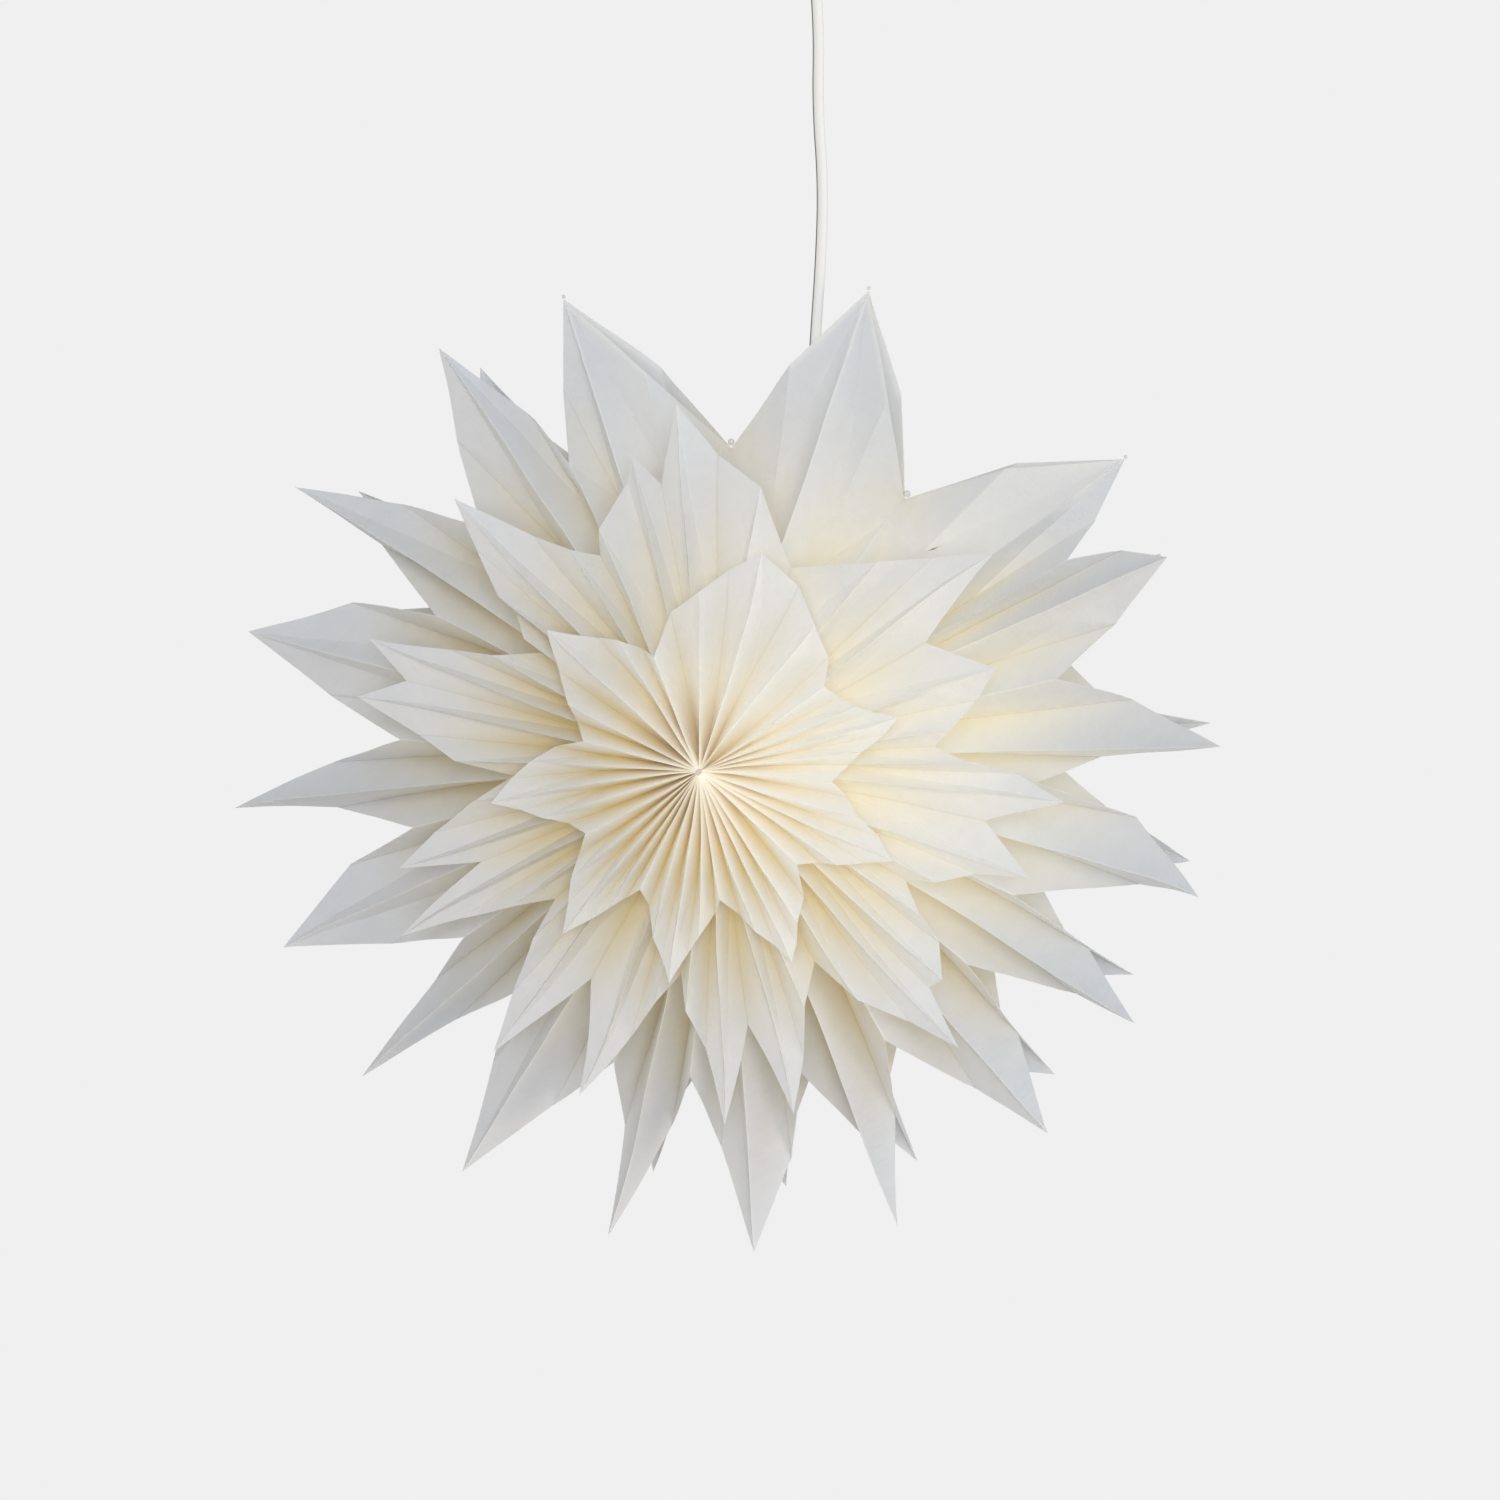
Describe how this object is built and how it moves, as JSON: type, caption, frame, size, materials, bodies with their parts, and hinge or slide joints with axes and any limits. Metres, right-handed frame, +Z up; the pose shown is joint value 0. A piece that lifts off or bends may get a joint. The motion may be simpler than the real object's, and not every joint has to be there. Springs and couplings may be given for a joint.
{
  "type": "hanging paper star lamp",
  "caption": "Hanging lamp: two halves of pleated, cut paper make a many-pointed layered star round a small bulb in a lampholder on a cord.",
  "frame": {"origin": "on the ceiling plane, at the middle of the mounting strap's two screw holes", "axes": "+Z up into the ceiling, the star's front faces -Y, +X to the right seen from the front"},
  "size_m": [0.6111, 0.2282, 0.8487],
  "materials": {
    "star_paper": "matt, thin, lets light through",
    "thread": "twisted cotton",
    "card": "matt",
    "glue": "clear dried glue",
    "spring_wire": "drawn wire",
    "white_plastic": "moulded, half gloss",
    "cord_cover": "soft white cover",
    "bulb_glass": "opal, lit warm white",
    "core": "unglazed",
    "contact_metal": "bare",
    "zinc_steel": "zinc plated"
  },
  "bodies": {
    "root": {"front_large_rosette": "star_paper", "front_middle_rosette": "star_paper", "front_small_rosette": "star_paper", "back_large_rosette": "star_paper", "back_middle_rosette": "star_paper", "back_small_rosette": "star_paper", "front_centre_thread": "thread", "back_centre_thread": "thread", "front_card_washer": "card", "back_card_washer": "card", "glue_dots": "glue", "hanger_wire": "spring_wire", "bulb": "bulb_glass", "lampholder_shell": "white_plastic", "lampholder_dome": "white_plastic", "lampholder_sleeve": "contact_metal", "contact_block": "core", "centre_contact": "contact_metal", "cord_clamp": "white_plastic", "cord": "cord_cover", "ceiling_cup": "white_plastic", "ceiling_strap": "zinc_steel", "cup_screws": "zinc_steel", "cup_bush": "white_plastic", "terminal_block": "white_plastic"}
  },
  "joints": []
}
